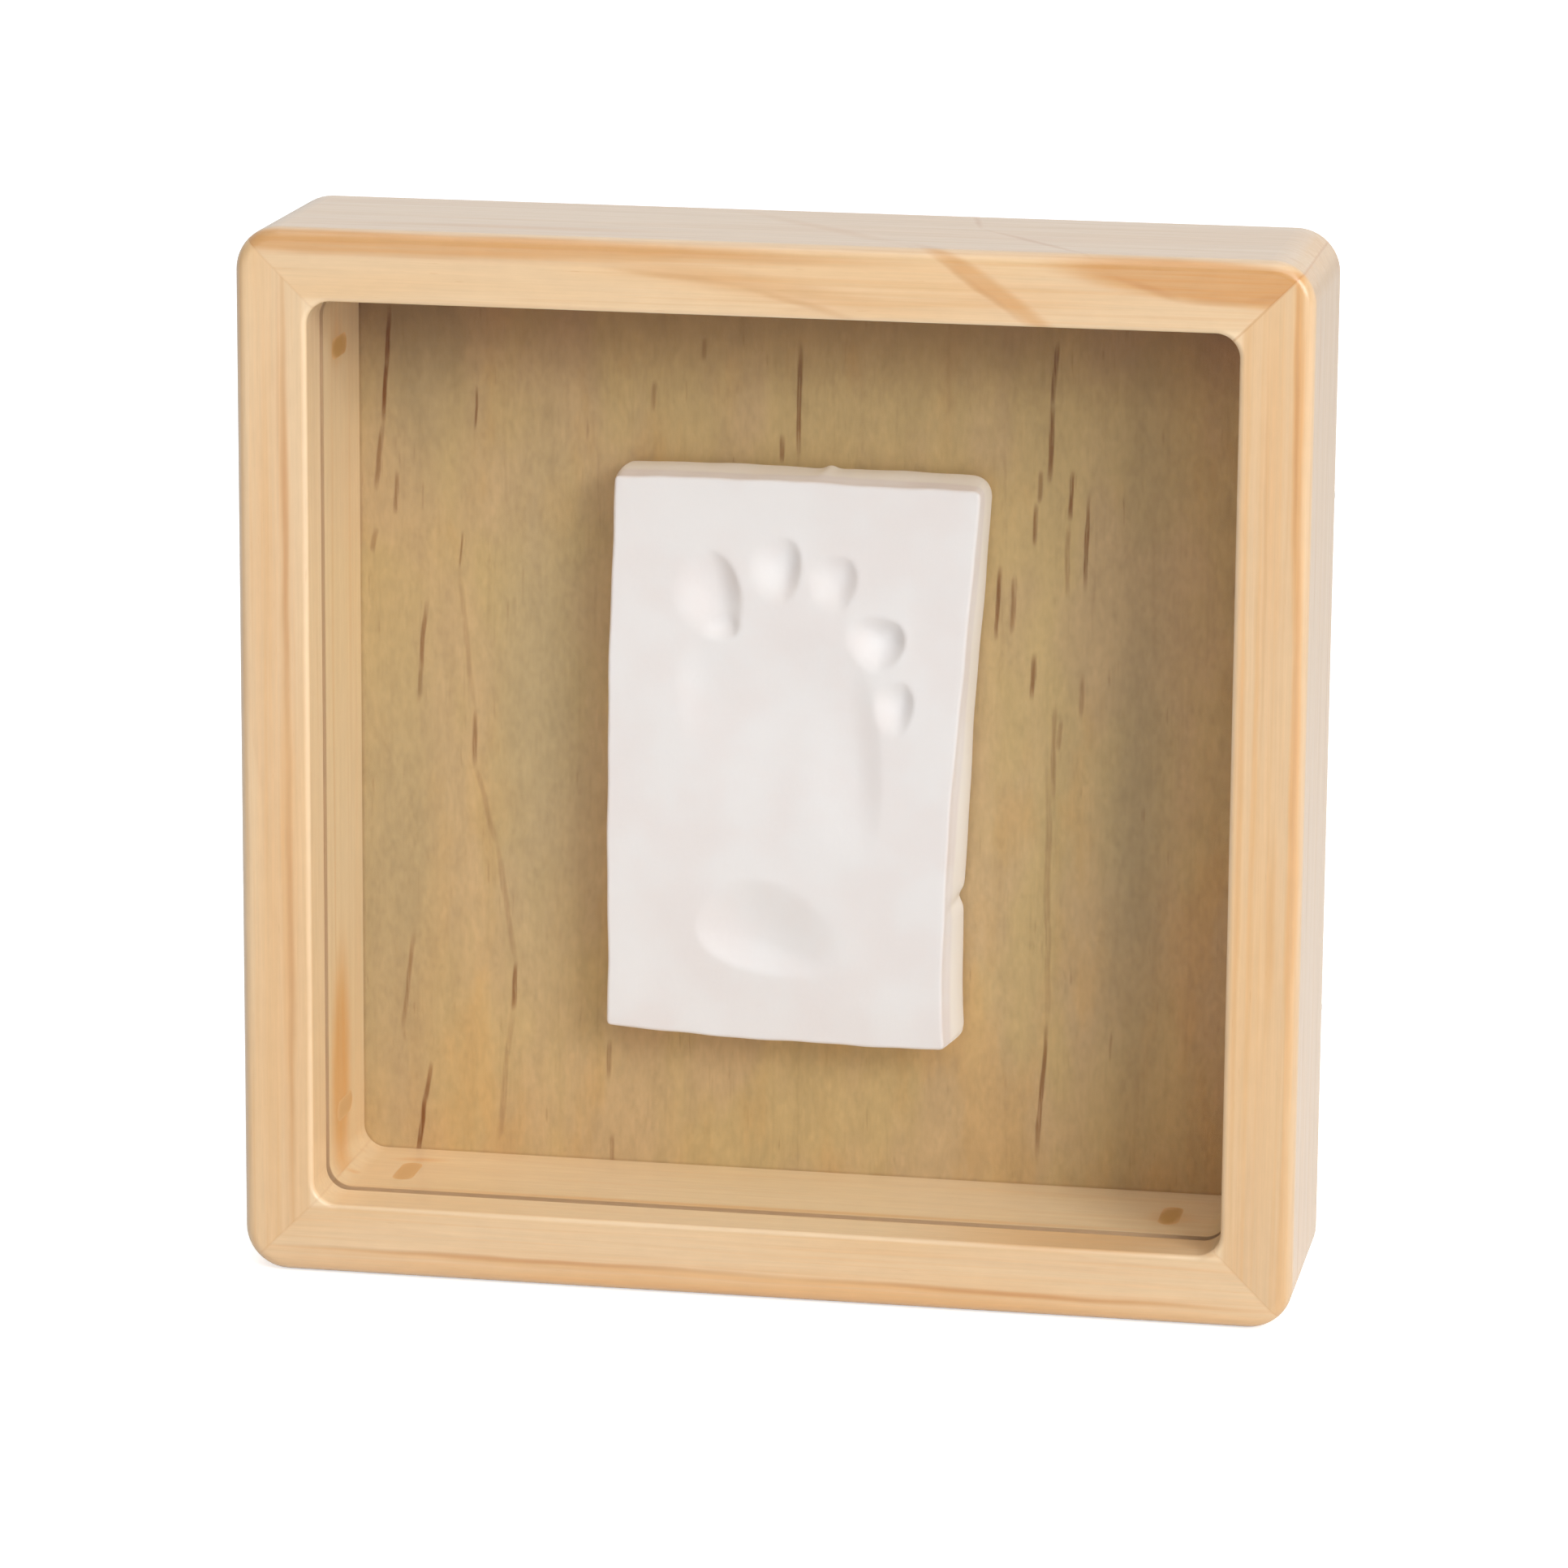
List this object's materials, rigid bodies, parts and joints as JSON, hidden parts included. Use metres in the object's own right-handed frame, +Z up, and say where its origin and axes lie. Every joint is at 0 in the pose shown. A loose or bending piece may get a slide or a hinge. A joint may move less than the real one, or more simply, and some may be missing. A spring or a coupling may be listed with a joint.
{
  "type": "display frame",
  "caption": "Square deep pine display frame with a clear pane, a plywood back on turn buttons, a toothed wall hanger and a white clay tile with a baby footprint.",
  "frame": {"origin": "middle of the base, halfway between the front face and the backs of the screw heads", "axes": "+Z up, +X to the right as seen from the front, +Y from the front to the back"},
  "size_m": [0.17, 0.0404, 0.17],
  "materials": {
    "case_pine": "satin",
    "liner_pine": "satin",
    "wood_filler": "matte",
    "clear_pane": "clear",
    "board_ply": "matte",
    "white_clay": "matte",
    "pad_foam": "matte",
    "bright_steel": "satin",
    "plated_steel": "satin"
  },
  "bodies": {
    "case": {"top_rail": "case_pine", "bottom_rail": "case_pine", "left_rail": "case_pine", "right_rail": "case_pine", "liner_top": "liner_pine", "liner_bottom": "liner_pine", "liner_left": "liner_pine", "liner_right": "liner_pine", "nail_filler": "wood_filler", "liner_nails": "bright_steel", "corner_nails": "bright_steel", "window_pane": "clear_pane", "turn_button_screws": "bright_steel", "sawtooth_hanger": "plated_steel", "hanger_nails": "bright_steel"},
    "back_panel": {"backboard": "board_ply", "clay_tile": "white_clay", "tile_pads": "pad_foam"},
    "button_upper_left": {"turn_button_upper_left": "plated_steel"},
    "button_upper_right": {"turn_button_upper_right": "plated_steel"},
    "button_lower_left": {"turn_button_lower_left": "plated_steel"},
    "button_lower_right": {"turn_button_lower_right": "plated_steel"}
  },
  "joints": [
    {"name": "back_panel_slide", "type": "slide", "parent": "case", "child": "back_panel", "axis": [0, 1, 0], "range_m": [0, 0.045]},
    {"name": "button_upper_left_turn", "type": "hinge", "parent": "case", "child": "button_upper_left", "pos_m": [-0.08135, 0.0173, 0.127], "axis": [0, 1, 0], "range_deg": [0, 180]},
    {"name": "button_upper_right_turn", "type": "hinge", "parent": "case", "child": "button_upper_right", "pos_m": [0.08135, 0.0173, 0.127], "axis": [0, -1, 0], "range_deg": [0, 180]},
    {"name": "button_lower_left_turn", "type": "hinge", "parent": "case", "child": "button_lower_left", "pos_m": [-0.08135, 0.0173, 0.043], "axis": [0, 1, 0], "range_deg": [0, 180]},
    {"name": "button_lower_right_turn", "type": "hinge", "parent": "case", "child": "button_lower_right", "pos_m": [0.08135, 0.0173, 0.043], "axis": [0, -1, 0], "range_deg": [0, 180]}
  ]
}
